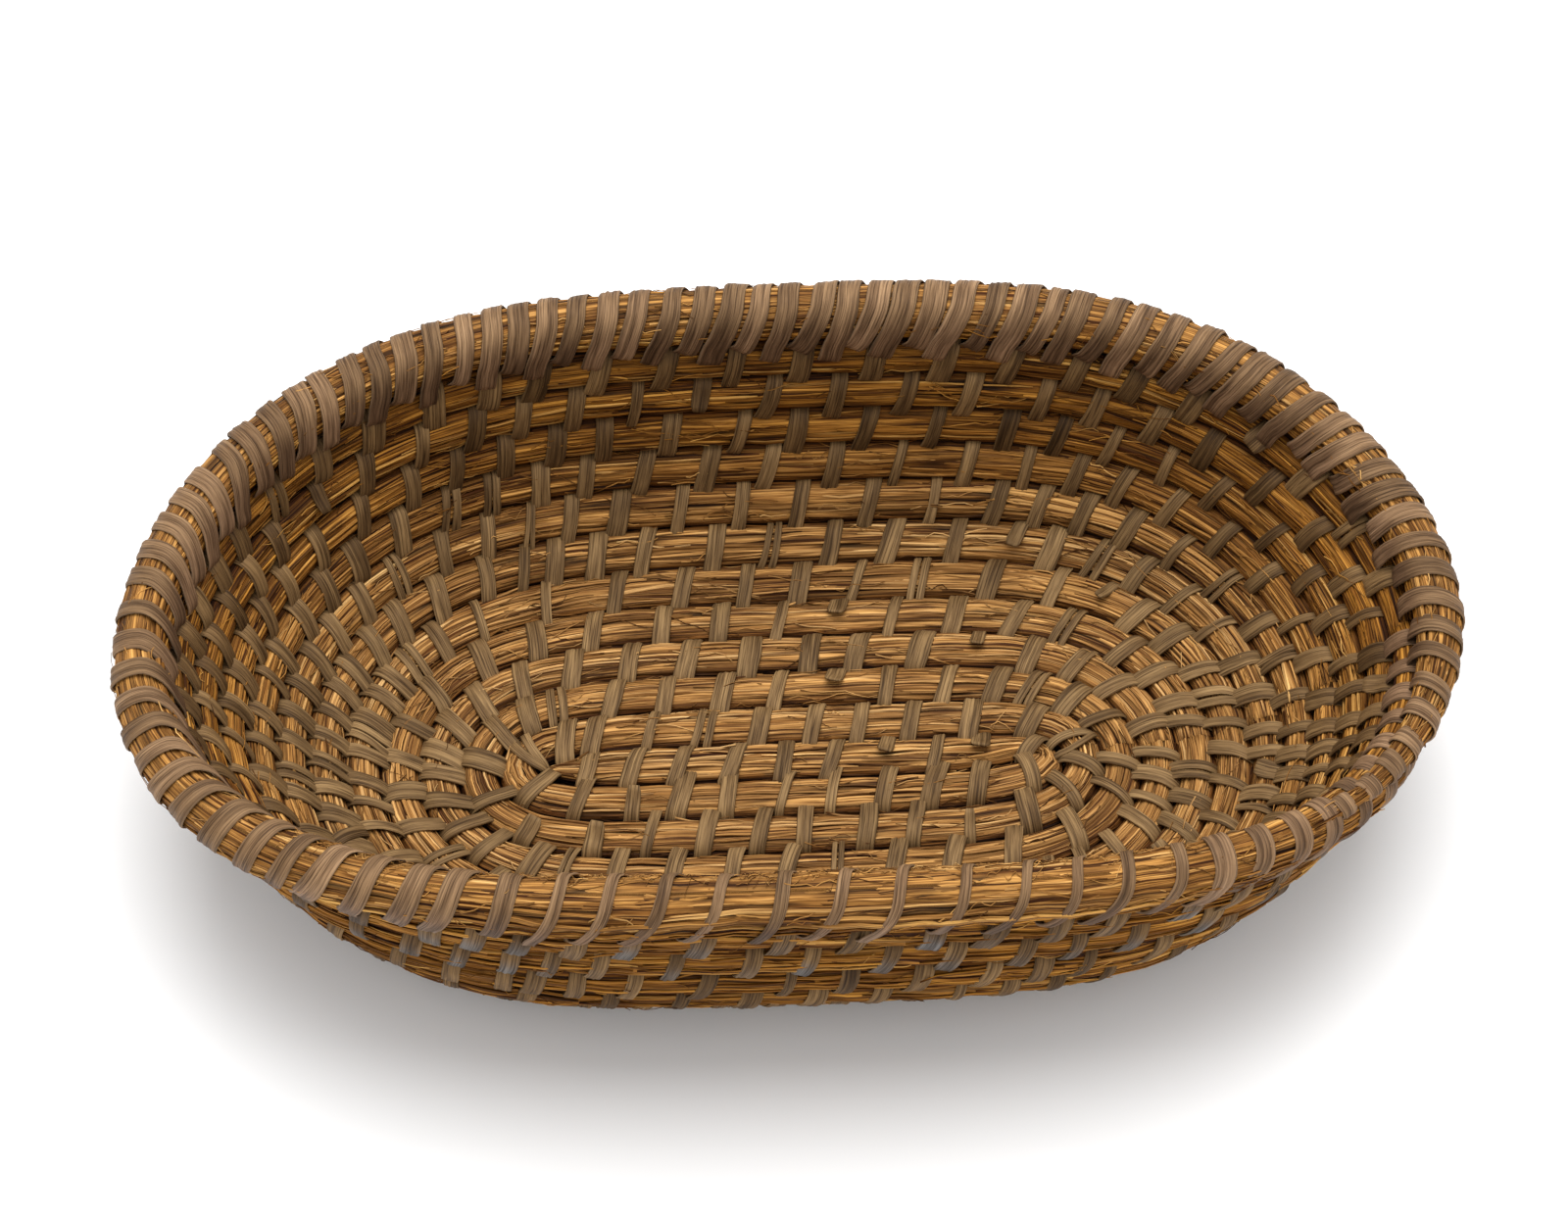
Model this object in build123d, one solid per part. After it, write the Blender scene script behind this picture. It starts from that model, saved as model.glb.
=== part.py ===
from build123d import *
import bisect
import math
import os

# Oval coiled straw basket: one spiral of straw bundles, sewn row to row with flat splints.
# The spiral starts as a straight bundle in the middle of the floor and winds clockwise, seen from
# above. Rows are counted outwards from that bundle, so row 0 is the bundle and row 12 is the rim.

# ---- the spiral: driving dimensions in millimetres and degrees ----
start_half_length = 75.0     # half the length of the straight start bundle
side_pitch = 14.5            # row to row, measured up the wall at the long sides
end_pitch = 12.8             # the same at the two ends
side_straightness = 6.0      # 0 gives an ellipse, a large value gives straight long sides
side_flat_rows = 3.3         # rows of flat floor at the long sides
side_steep_row = 9.8         # row where the long sides reach their full slope
side_slope = 81.3
end_flat_rows = 1.7
end_steep_row = 10.2
end_slope = 55.8
rim_row = 12
end_levelling = 0.04         # squeeze of the rows at the right end, which keeps the rim level
middle_shift = Vector(0.48, 0.0, 0.0)  # brings the middle of the whole basket's box to the origin

# ---- the straw bundles ----
row_gap = 1.9                # clear space between two rows, which the stitches pass through
bundle_half_thickness = 5.5
floor_height = 4.6           # centre of the floor bundles above the surface it stands on
start_turn = 0.1             # the spiral's formula holds from here, in turns
start_taper_turns = 0.1
start_scale = 0.72
start_tip_reach = 4.5        # the start bundle's free end runs this far past its half length
start_tip_half_height = 1.2
start_tip_half_thickness = 3.0
first_bend_squeeze = 0.45    # how much the bundle is pinched where it first doubles back
first_bend_reach = 0.09      # over how many turns either side
rim_half_thickness = 9.0
rim_extra_rows = 0.25        # how far the rim bundle stands above a normal row
rim_swell_turn = 11.75       # the rim bundle reaches its full size here
tail_start_turn = 12.45
tail_end_turn = 12.64        # the spiral's tapered end, on the near right
tail_tip_scale = 0.25

# ---- the splints ----
stitch_width = 5.5
stitch_spacing = 16.0
crowded_spacing = 10.0       # at the two ends of the floor
crowded_rows = 6
round_end_start = 0.6        # the round ends are where the squared cosine of the angle is above this
wide_stitch_width = 7.0      # in the row below the rim
stitch_thickness = 0.7
stitch_clearance = 0.15
binding_width = 7.2
binding_spacing = 9.2
sparse_binding_width = 3.6
sparse_binding_spacing = 16.6
sparse_turns = (11.68, 11.79)  # the near side of the rim is bound sparsely
stitch_end_margin = 6.0      # bare bundle left at each end of a row
stitch_floor_clearance = 0.1
tight_turns = 3.0            # before this the bends are tight, and a stitch takes a middle section

# ---- how finely the spiral is drawn ----
stations_per_turn = 90
length_steps_per_turn = 720
tangent_reach = 0.002        # the bundle's direction is taken this far either side, in turns
steps_per_row = 40
full_turn = 2 * math.pi
ground_length = 600.0        # block that the undersides are cut flat with
ground_width = 400.0
ground_depth = 50.0


def smooth(value):
    """Ease from 0 to 1."""
    clamped = min(max(value, 0.0), 1.0)
    return clamped * clamped * (3 - 2 * clamped)


def profile_table(pitch, flat_rows, steep_row, slope):
    """Distance out and height of the wall's middle surface, at each step of the row count."""
    out, up = [0.0], [0.0]
    for step in range(steps_per_row * (rim_row + 3)):
        row = (step + 0.5) / steps_per_row
        tilt = math.radians(slope * smooth((row - flat_rows) / (steep_row - flat_rows)))
        out.append(out[-1] + pitch / steps_per_row * math.cos(tilt))
        up.append(up[-1] + pitch / steps_per_row * math.sin(tilt))
    return out, up


side_profile = profile_table(side_pitch, side_flat_rows, side_steep_row, side_slope)
end_profile = profile_table(end_pitch, end_flat_rows, end_steep_row, end_slope)


def look_up(table, row):
    """Read a profile table at a row count. Below row 0 the table runs on in a straight line."""
    place = row * steps_per_row
    step = min(max(int(place), 0), len(table) - 2)
    return table[step] + (place - step) * (table[step + 1] - table[step])


def surface_point(row, angle):
    """A point of the basket's middle surface. Angle 0 is the left end, and a quarter turn the far side."""
    along, across = math.cos(angle), math.sin(angle)
    straight = along * (1 + side_straightness) / (1 + side_straightness * abs(along))
    x = -(start_half_length * straight + look_up(end_profile[0], row) * along)
    y = look_up(side_profile[0], row) * across
    z = look_up(side_profile[1], row) * across**2 + look_up(end_profile[1], row) * along**2
    return Vector(x, y, z + floor_height) + middle_shift


def row_at(turns):
    """Row count of the spiral: rows are level along both long sides and step up round the right end."""
    angle = turns * full_turn
    right_end = max(0.0, -math.cos(angle)) ** 2
    return (turns - 0.25 * math.sin(angle)) * (1 - end_levelling * right_end)


def row_edges(turns):
    """Lower and upper edge of the bundle, in rows."""
    middle = row_at(turns)
    if turns < rim_row - 0.5:
        return middle - 0.5, middle + 0.5
    swell = smooth((turns - (rim_row - 0.5)) / (rim_swell_turn - rim_row + 0.5))
    lower = row_at(turns - 1) + 0.5
    upper = min(middle + 0.5 + rim_extra_rows * swell, rim_row + 0.5 + rim_extra_rows)
    return lower, upper


def half_thickness(turns):
    """Half of the bundle's thickness, through the wall."""
    swell = smooth((turns - (rim_row - 0.5)) / (rim_swell_turn - rim_row + 0.5))
    return bundle_half_thickness + (rim_half_thickness - bundle_half_thickness) * swell


def taper(turns):
    """Shrinks the bundle towards its two free ends, and where it first doubles back."""
    start = 1 - (1 - start_scale) * (1 - smooth((turns - start_turn) / start_taper_turns))
    tail = 1 - (1 - tail_tip_scale) * smooth((turns - tail_start_turn) / (tail_end_turn - tail_start_turn))
    bend = 1 - first_bend_squeeze * smooth(1 - abs(turns - 0.5) / first_bend_reach)
    return start * tail * bend


def middle_point(turns):
    """Centre line of the bundle."""
    lower, upper = row_edges(turns)
    return surface_point((lower + upper) / 2, turns * full_turn)


def section(turns, grow=0.0):
    """The bundle's oval cross-section, which grow makes larger all round."""
    lower, upper = row_edges(turns)
    angle = turns * full_turn
    tangent = (middle_point(turns + tangent_reach) - middle_point(turns - tangent_reach)).normalized()
    climb = surface_point(upper, angle) - surface_point(lower, angle)
    climb -= tangent * climb.dot(tangent)
    half_height = (climb.length - row_gap) / 2 * taper(turns) + grow
    plane = Plane(origin=middle_point(turns), x_dir=climb, z_dir=tangent)
    return Wire.make_ellipse(half_height, half_thickness(turns) * taper(turns) + grow, plane)


def start_tip():
    """The cross-section at the start bundle's free end."""
    end = Vector(-start_half_length - start_tip_reach, 0, floor_height) + middle_shift
    plane = Plane(origin=end, x_dir=(0, 1, 0), z_dir=(1, 0, 0))
    return Wire.make_ellipse(start_tip_half_height, start_tip_half_thickness, plane)


def loft(turns, grow=0.0):
    """A solid that follows the bundle through its cross-sections at the given turns."""
    return Solid.make_loft([section(turn, grow) for turn in turns], ruled=True)


def bundle(first, last):
    """The straw bundle between two turns of the spiral."""
    count = math.ceil((last - first) * stations_per_turn)
    sections = [section(first + (last - first) * index / count) for index in range(count + 1)]
    if first == start_turn:
        sections.insert(0, start_tip())
    return above(Solid.make_loft(sections, ruled=True), 0.0)


def above(solid, height):
    """The part of a solid above a height."""
    if solid.bounding_box().min.Z >= height:
        return solid
    corner = (-ground_length / 2, -ground_width / 2, height - ground_depth)
    return solid.cut(Solid.make_box(ground_length, ground_width, ground_depth, Plane(corner)))


def stitch(first, last):
    """One splint: a flat band round the bundle. In the floor its buried underside is left out."""
    turns = [first, (first + last) / 2, last] if first < tight_turns else [first, last]
    band = loft(turns, stitch_clearance + stitch_thickness).cut(loft(turns, stitch_clearance))
    return above(band, stitch_floor_clearance)


def length_table(first, last):
    """Turn counts along a stretch of the spiral, each with the length of bundle up to it."""
    steps = math.ceil((last - first) * length_steps_per_turn)
    turns = [first + (last - first) * index / steps for index in range(steps + 1)]
    lengths = [0.0]
    for before, after in zip(turns, turns[1:]):
        lengths.append(lengths[-1] + (middle_point(after) - middle_point(before)).length)
    return turns, lengths


def read(keys, values, key):
    """Read a value between the entries of two rising lists."""
    index = min(max(bisect.bisect_left(keys, key), 1), len(keys) - 1)
    part = (key - keys[index - 1]) / (keys[index] - keys[index - 1])
    return values[index - 1] + part * (values[index] - values[index - 1])


def spacing_at(turns):
    """Stitches crowd together at the two ends of the floor, where the rows turn tightly."""
    if turns > crowded_rows:
        return stitch_spacing
    round_end = smooth((math.cos(turns * full_turn)**2 - round_end_start) / (1 - round_end_start))
    return stitch_spacing + (crowded_spacing - stitch_spacing) * round_end


def stitch_turns(table):
    """Where the stitches of the whole spiral lie, in turns.

    Those of the first turn are evenly spaced. From then on each lies midway between two of the row
    below, and where those have spread too far apart there are two or more."""
    turns, lengths = table
    marks = [read(lengths, turns, stitch_end_margin)]
    while marks[-1] < start_turn + 1:
        marks.append(read(lengths, turns, stitch_end_margin + len(marks) * stitch_spacing))
    below = 0
    while marks[below + 1] + 1 < rim_row - 0.5:
        low = read(turns, lengths, marks[below] + 1)
        gap = read(turns, lengths, marks[below + 1] + 1) - low
        count = max(1, round(gap / spacing_at(marks[below])))
        places = [low + gap * (index + 0.5) / count for index in range(count)]
        marks += [read(lengths, turns, place) for place in places]
        below += 1
    return marks


def stitch_row(first, last, marks, table):
    """All stitches that lie between two turns of the spiral."""
    turns, lengths = table
    half_width = (wide_stitch_width if first > rim_row - 2 else stitch_width) / 2
    begin = read(turns, lengths, first) + stitch_end_margin
    end = read(turns, lengths, last) - stitch_end_margin
    stitches = []
    for mark in marks:
        middle = read(turns, lengths, mark)
        if begin < middle - half_width and middle + half_width < end:
            edges = (middle - half_width, middle + half_width)
            stitches.append(stitch(*(read(lengths, turns, edge) for edge in edges)))
    return stitches


def rim_binding(table):
    """The close splints round the rim bundle, and the sparse ones along its near side."""
    turns, lengths = table
    place = read(turns, lengths, rim_row - 0.5) + stitch_end_margin
    bands = []
    while place + binding_width < lengths[-1] - stitch_end_margin:
        first = read(lengths, turns, place)
        sparse = sparse_turns[0] < first < sparse_turns[1]
        width = sparse_binding_width if sparse else binding_width
        bands.append(stitch(first, read(lengths, turns, place + width)))
        place += sparse_binding_spacing if sparse else binding_spacing
    return bands


def row_span(row):
    """First and last turn of a row."""
    if row == 0:
        return start_turn, 0.5
    if row == rim_row:
        return rim_row - 0.5, tail_end_turn
    return row - 0.5, row + 0.5


def save(name, solids):
    """Write one node."""
    shape = solids[0] if len(solids) == 1 else Compound(solids)
    export_step(shape, f"parts/{name}.step")


def main():
    os.makedirs("parts", exist_ok=True)
    table = length_table(start_turn, tail_end_turn)
    marks = stitch_turns(table)
    for row in range(rim_row + 1):
        name = {0: "centre_coil", rim_row: "rim_coil"}.get(row, f"coil_turn_{row:02d}")
        save(name, [bundle(*row_span(row))])
        if row < rim_row:
            save(f"stitches_{row:02d}", stitch_row(*row_span(row), marks, table))
    save("rim_binding", rim_binding(table))


main()
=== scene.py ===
import math

import bpy
import numpy as np
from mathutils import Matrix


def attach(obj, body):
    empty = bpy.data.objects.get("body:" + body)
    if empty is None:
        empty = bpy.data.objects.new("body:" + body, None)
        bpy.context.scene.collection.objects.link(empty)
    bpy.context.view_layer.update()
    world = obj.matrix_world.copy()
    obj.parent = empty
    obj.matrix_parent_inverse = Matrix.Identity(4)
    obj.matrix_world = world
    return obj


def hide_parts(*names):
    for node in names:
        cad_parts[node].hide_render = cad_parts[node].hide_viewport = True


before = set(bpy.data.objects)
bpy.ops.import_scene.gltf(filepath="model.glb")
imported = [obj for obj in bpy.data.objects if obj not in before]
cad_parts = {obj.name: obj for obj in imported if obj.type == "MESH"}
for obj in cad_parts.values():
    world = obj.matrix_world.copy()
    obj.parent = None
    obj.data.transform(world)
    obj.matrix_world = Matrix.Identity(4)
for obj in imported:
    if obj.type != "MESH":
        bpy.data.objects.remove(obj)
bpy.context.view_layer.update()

# Looks of an oval coiled straw basket. One spiral of straw bundles starts as a straight bundle in the
# middle of the floor and winds outwards, and splints sew each row to the row below. Row 0 is the start
# bundle and row 12 is the rim. Each CAD node is replaced by one piece made here, in the same place.
# Lengths are in metres. In a bundle's cross-section, up points to the next row and inward into the basket.

random = np.random.default_rng(474)
MM = 0.001

# ---- the spiral, as the CAD model has it: metres, degrees, rows and turns ----
START_HALF_LENGTH = 75.0 * MM
SIDE_PITCH, SIDE_FLAT_ROWS, SIDE_STEEP_ROW, SIDE_SLOPE = 14.5 * MM, 3.3, 9.8, 81.3
END_PITCH, END_FLAT_ROWS, END_STEEP_ROW, END_SLOPE = 12.8 * MM, 1.7, 10.2, 55.8
SIDE_STRAIGHTNESS = 6.0      # 0 gives an ellipse, a large value gives straight long sides
RIGHT_END_GATHER = 0.25      # how much of the step from row to row is taken at the right end
END_LEVELLING = 0.04         # squeeze of the rows at the right end, which keeps the rim level
MIDDLE_SHIFT = 0.48 * MM     # brings the middle of the whole basket's box to the origin
FLOOR_HEIGHT = 4.6 * MM      # centre of the floor bundles above the surface it stands on
RIM_ROW = 12
RIM_START_TURN = RIM_ROW - 0.5
RIM_SWELL_TURN = 11.75       # the rim bundle reaches its full size here
RIM_EXTRA_ROWS = 0.25        # how far the rim bundle stands above a normal row
START_TURN, START_TAPER_TURNS, START_SCALE = 0.1, 0.1, 0.72
START_TIP_REACH = 4.5 * MM   # the start bundle's free end runs this far past its half length
FIRST_BEND_TURN, FIRST_BEND_REACH = 0.5, 0.09
TAIL_START_TURN, TAIL_END_TURN, TAIL_TIP_SCALE = 12.45, 12.64, 0.25

# ---- the spiral, where the looks differ a little from the CAD model ----
BUNDLE_HALF_DEPTH, RIM_HALF_DEPTH = 5.6 * MM, 8.6 * MM
FIRST_BEND_SQUEEZE = 0.34    # how much the bundle is pinched where it first doubles back
START_TIP_TURNS, START_TIP_SCALE = 0.01, 0.35
UNEVENNESS, UNEVEN_REACH = 0.045, 35.0 * MM
SETTLE_BELOW = 3.0 * MM      # what is lower than this is pressed up
SETTLE_DEPTH = 2.3 * MM      # this far under the floor comes up to the floor
LOWEST = 0.05 * MM

# ---- how finely the spiral is drawn, and how far past its ends ----
ROWS_PER_STEP, SPARE_ROWS = 1 / 40, 3
TURNS_PER_STEP, SPARE_TURNS = 0.0008, 0.03
START_TIP_STATIONS = 8


# ------------------------------------------------------------------ the spiral
def smooth(value):
    """Ease from 0 to 1."""
    clamped = np.clip(value, 0.0, 1.0)
    return clamped * clamped * (3 - 2 * clamped)


def unit(vectors):
    return vectors / np.linalg.norm(vectors, axis=-1, keepdims=True)


def path_lengths(points):
    """How far along the path each of its points is."""
    return np.concatenate([[0], np.cumsum(np.linalg.norm(np.diff(points, axis=0), axis=1))])


def profile_table(pitch, flat_rows, steep_row, slope):
    """Rows, distance out and height of the wall's middle surface."""
    rows = np.arange(0, RIM_ROW + SPARE_ROWS, ROWS_PER_STEP)
    tilt = np.radians(slope * smooth((rows + ROWS_PER_STEP / 2 - flat_rows) / (steep_row - flat_rows)))
    out = np.concatenate([[0], np.cumsum(np.cos(tilt))]) * pitch * ROWS_PER_STEP
    up = np.concatenate([[0], np.cumsum(np.sin(tilt))]) * pitch * ROWS_PER_STEP
    return np.append(rows, rows[-1] + ROWS_PER_STEP), out, up


SIDE = profile_table(SIDE_PITCH, SIDE_FLAT_ROWS, SIDE_STEEP_ROW, SIDE_SLOPE)
END = profile_table(END_PITCH, END_FLAT_ROWS, END_STEEP_ROW, END_SLOPE)


def surface(row, angle):
    """A point of the basket's middle surface. Angle 0 is the left end, a quarter turn the far side."""
    along, across = np.cos(angle), np.sin(angle)
    straight = along * (1 + SIDE_STRAIGHTNESS) / (1 + SIDE_STRAIGHTNESS * np.abs(along))
    inside = np.minimum(row, 0)
    end_out = np.interp(row, END[0], END[1]) + inside * END_PITCH
    side_out = np.interp(row, SIDE[0], SIDE[1]) + inside * SIDE_PITCH
    x = MIDDLE_SHIFT - (START_HALF_LENGTH * straight + end_out * along)
    z = np.interp(row, SIDE[0], SIDE[2]) * across**2 + np.interp(row, END[0], END[2]) * along**2
    return np.stack([x, side_out * across, z + FLOOR_HEIGHT], axis=-1)


def row_at(turns):
    """The row number of the spiral's middle line."""
    right_end = np.maximum(0.0, -np.cos(turns * math.tau)) ** 2
    return (turns - RIGHT_END_GATHER * np.sin(turns * math.tau)) * (1 - END_LEVELLING * right_end)


def swell(turns):
    """0 on the rows and 1 on the full rim bundle."""
    return smooth((turns - RIM_START_TURN) / (RIM_SWELL_TURN - RIM_START_TURN))


def row_edges(turns):
    """Row numbers of the bundle's lower and upper edge, half a row from its middle line."""
    middle = row_at(turns)
    on_rim = turns >= RIM_START_TURN
    lower = np.where(on_rim, row_at(turns - 1) + 0.5, middle - 0.5)
    rim_top = np.minimum(middle + 0.5 + RIM_EXTRA_ROWS * swell(turns), RIM_ROW + 0.5 + RIM_EXTRA_ROWS)
    return lower, np.where(on_rim, rim_top, middle + 0.5)


def taper(turns):
    """How the bundle's size changes at its start, at its first bend and along its tail."""
    start = 1 - (1 - START_SCALE) * (1 - smooth((turns - START_TURN) / START_TAPER_TURNS))
    tail_part = (turns - TAIL_START_TURN) / (TAIL_END_TURN - TAIL_START_TURN)
    tail = 1 - (1 - TAIL_TIP_SCALE) * smooth(tail_part)
    bend = 1 - FIRST_BEND_SQUEEZE * smooth(1 - np.abs(turns - FIRST_BEND_TURN) / FIRST_BEND_REACH)
    return start * tail * bend


def follow_formula():
    """Turns, middle points, climbs from edge to edge, and sizes, where the spiral's formula holds."""
    turns = np.arange(START_TURN, TAIL_END_TURN + SPARE_TURNS, TURNS_PER_STEP)
    lower, upper = row_edges(turns)
    angle = turns * math.tau
    point = surface((lower + upper) / 2, angle)
    climb = surface(upper, angle) - surface(lower, angle)
    size = taper(turns)
    shrink = np.linalg.norm(climb, axis=1) / 2 * (1 - size) * (turns > TAIL_START_TURN)
    point = point - unit(climb) * shrink[:, None]      # the thinning tail stays on the row below
    return turns, point, climb, size


def start_tip(turn, point, size):
    """Turn counts, points and sizes from the start bundle's free end up to where the formula holds."""
    part = np.linspace(0, 1, START_TIP_STATIONS, endpoint=False)
    end = np.array([MIDDLE_SHIFT - START_HALF_LENGTH - START_TIP_REACH, 0, FLOOR_HEIGHT])
    turns = turn - START_TIP_TURNS * (1 - part)
    growth = START_TIP_SCALE + (1 - START_TIP_SCALE) * part**0.5
    return turns, end + (point - end) * part[:, None], size * growth


def unevenness(along):
    """Random changes of the bundle's thickness, about 1."""
    knots = np.arange(0, along[-1] + UNEVEN_REACH, UNEVEN_REACH)
    return 1 + np.interp(along, knots, random.normal(0, UNEVENNESS, len(knots)))


def make_spiral():
    """Tables along the whole bundle: where it is, which way it faces and how thick it is."""
    turns, point, climb, size = follow_formula()
    tip_turns, tip_points, tip_sizes = start_tip(turns[0], point[0], size[0])
    turns = np.concatenate([tip_turns, turns])
    point = np.concatenate([tip_points, point])
    size = np.concatenate([tip_sizes, size])
    climb = np.concatenate([np.repeat(climb[:1], START_TIP_STATIONS, axis=0), climb])
    forward = unit(np.gradient(point, axis=0))
    climb -= forward * np.sum(climb * forward, axis=-1, keepdims=True)
    depth = BUNDLE_HALF_DEPTH + (RIM_HALF_DEPTH - BUNDLE_HALF_DEPTH) * swell(turns)
    along = path_lengths(point)
    return {
        "turns": turns,
        "along": along,
        "point": point,
        "up": unit(climb),
        "inward": unit(np.cross(forward, climb)),
        "half_height": np.linalg.norm(climb, axis=1) / 2 * size,
        "half_depth": depth * unevenness(along) * size,
    }


SPIRAL = make_spiral()


def read(name, along):
    """Read one of the spiral's tables at lengths along the bundle."""
    table = SPIRAL[name]
    if table.ndim == 1:
        return np.interp(along, SPIRAL["along"], table)
    return np.stack([np.interp(along, SPIRAL["along"], table[:, axis]) for axis in range(3)], axis=-1)


def along_at(turns):
    return np.interp(turns, SPIRAL["turns"], SPIRAL["along"])


def turns_at(along):
    return np.interp(along, SPIRAL["along"], SPIRAL["turns"])


def place(along, up, inward):
    """World points from a length along the bundle and an offset in its cross-section."""
    up_axis, in_axis = read("up", along), read("inward", along)
    return read("point", along) + up_axis * up[..., None] + in_axis * inward[..., None]


def settle(points):
    """Press what lies lowest together, so that the basket stands on the floor and not in it."""
    height = points[..., 2]
    pressed = SETTLE_BELOW * (height + SETTLE_DEPTH) / (SETTLE_BELOW + SETTLE_DEPTH)
    points[..., 2] = np.where(height < SETTLE_BELOW, np.maximum(pressed, LOWEST), height)
    return points


# ------------------------------------------------------------------ mesh helpers
class Tubes:
    """Collects closed tubes, each a run of rings, into one mesh with two attributes for the materials.

    grain is the length along the strand, the distance across it and the strand's own random number.
    tone is the dust less any painted sheen, the shade, and how near the point is to an edge."""

    def __init__(self):
        self.points, self.grain, self.tone, self.quads, self.caps = [], [], [], [], []
        self.count = 0

    def add(self, rings, grain, tone):
        """Add a tube. All three are (stations, ring points, 3)."""
        stations, around = rings.shape[:2]
        index = np.arange(stations * around).reshape(stations, around) + self.count
        after = np.roll(index, -1, axis=1)
        quads = np.stack([index[:-1], after[:-1], after[1:], index[1:]], axis=-1)
        self.quads.append(quads.reshape(-1, 4))
        self.caps += [index[0][::-1], index[-1]]
        self.points.append(rings.reshape(-1, 3))
        self.grain.append(grain.reshape(-1, 3))
        self.tone.append(tone.reshape(-1, 3))
        self.count += stations * around

    def fill(self, mesh):
        """Give the mesh its points, faces and attributes."""
        quads = np.concatenate(self.quads)
        loops = np.concatenate([quads.ravel(), *self.caps])
        sizes = np.concatenate([np.full(len(quads), 4), [len(cap) for cap in self.caps]])
        starts = np.concatenate([[0], np.cumsum(sizes)[:-1]])
        mesh.vertices.add(self.count)
        mesh.vertices.foreach_set("co", np.concatenate(self.points).ravel())
        mesh.loops.add(len(loops))
        mesh.loops.foreach_set("vertex_index", loops.astype(np.int32))
        mesh.polygons.add(len(sizes))
        mesh.polygons.foreach_set("loop_start", starts.astype(np.int32))
        mesh.polygons.foreach_set("use_smooth", np.ones(len(sizes), dtype=bool))
        for title, values in (("grain", self.grain), ("tone", self.tone)):
            layer = mesh.attributes.new(title, "FLOAT_VECTOR", "POINT")
            layer.data.foreach_set("vector", np.concatenate(values).astype(np.float32).ravel())
        mesh.update(calc_edges=True)

    def build(self, name, material, node):
        """Make the piece that stands for a CAD node."""
        mesh = bpy.data.meshes.new(name)
        self.fill(mesh)
        mesh.materials.append(material)
        piece = bpy.data.objects.new(name, mesh)
        bpy.context.scene.collection.objects.link(piece)
        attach(piece, "root")
        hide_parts(node)


def side_by_side(*parts):
    """Stretch the values to one shape and stack them as the three parts of an attribute."""
    return np.stack(np.broadcast_arrays(*parts), axis=-1)


def between_knots(knots, stations):
    """For each of the evenly spaced stations, the knot before it and how far it is to the next one."""
    position = np.linspace(0, knots - 1, stations)
    index = np.minimum(position.astype(int), knots - 2)
    return index, (position - index)[:, None]


def wander(stations, spacing, reach, size):
    """Random drift along a strand, with a knot about every reach metres."""
    knots = int(stations * spacing / reach) + 3
    values = random.normal(0, size, knots)
    return np.interp(np.linspace(0, knots - 1, stations), np.arange(knots), values)


def wander_lanes(stations, knots, lanes, size):
    """Random drift of several lanes at once."""
    values = random.normal(0, size, (knots, lanes))
    index, part = between_knots(knots, stations)
    return values[index] * (1 - part) + values[index + 1] * part


# ------------------------------------------------------------------ straw
# ---- the bundle's body ----
BODY_RING, BODY_STEP = 54, 2.6 * MM
BODY_HEIGHT, BODY_DEPTH = 1.015, 0.975     # shares of the bundle's own half height and half depth
RIDGE, RIDGE_REACH, RIDGE_UPWARD = 0.32 * MM, 16 * MM, 0.4
BODY_SHADE, RIDGE_SHADE, BODY_SHADE_LIMITS = 0.4, 0.25, (0.02, 0.85)
PINCH, PINCH_REACH = 0.085, 4.5 * MM       # how much a stitch draws the bundle in, and how far either side

# ---- dust, and painted shade in the grooves ----
DUST_HEIGHT, LEAST_DUST = 55 * MM, 0.06
DUST_ON_TOP, DUST_INWARD = 0.5, 0.8        # before easing: on the bundle's top, and more on its inner side
# The first two numbers make the rim's upper side paler.
# The third number darkens the rim's lower edge further: painted shade under the rim.
RIM_TOP_PALING, RIM_TOP_PALING_SPREAD, RIM_UNDERSIDE_PAINTED_SHADE = 0.5, 0.4, 0.3

# ---- the straws of the outer layer ----
STRAW_RING = np.array([[-1.0, -0.35], [-0.72, 0.62], [0.0, 1.0], [0.72, 0.62], [1.0, -0.35]])
STRAW_STEP, LEAST_STRAW_STATIONS = 4.5 * MM, 4
STRAW_WIDTHS = (0.6 * MM, 1.0 * MM, 2.2 * MM)      # least, most usual and most
STRAW_WIDTH_LIMITS = (0.45, 1.1)           # how far the widths follow a thin or thick bundle
STRAW_THICKNESS = 0.42 * MM
STRAW_LENGTHS, SHORTEST_STRAW = (40 * MM, 160 * MM), 12 * MM
STRAW_GAPS, FIRST_STRAW_OVERRUN = (-4 * MM, 14 * MM), 60 * MM
STRAW_TURNING = (40 * MM, 0.09)            # drift round the bundle: reach, and radians
STRAW_WIDENING = (25 * MM, 0.1)            # drift of the width: reach, and share
STRAW_WAVING = (22 * MM, 0.12 * MM)        # drift of the height: reach, and metres
STRAW_END_LENGTH, STRAW_END_SCALE = 4 * MM, 0.3
STRAW_SHADES = (0.2, 1.0)
STRAW_HEIGHTS = (-0.4 * MM, 0.15 * MM)
OUTSIDE_EXTRA, OUTSIDE_EXTRA_HEIGHT = 0.6 * MM, 60 * MM    # the straws stand prouder high on the outside
LOOSE_END_CHANCE, LOOSE_END_LENGTH, LOOSE_END_RISES = 0.05, 9 * MM, (0.8 * MM, 2.0 * MM)
LANE_WIDTH, LANE_SCATTER = 1.45 * MM, 0.4

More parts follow.
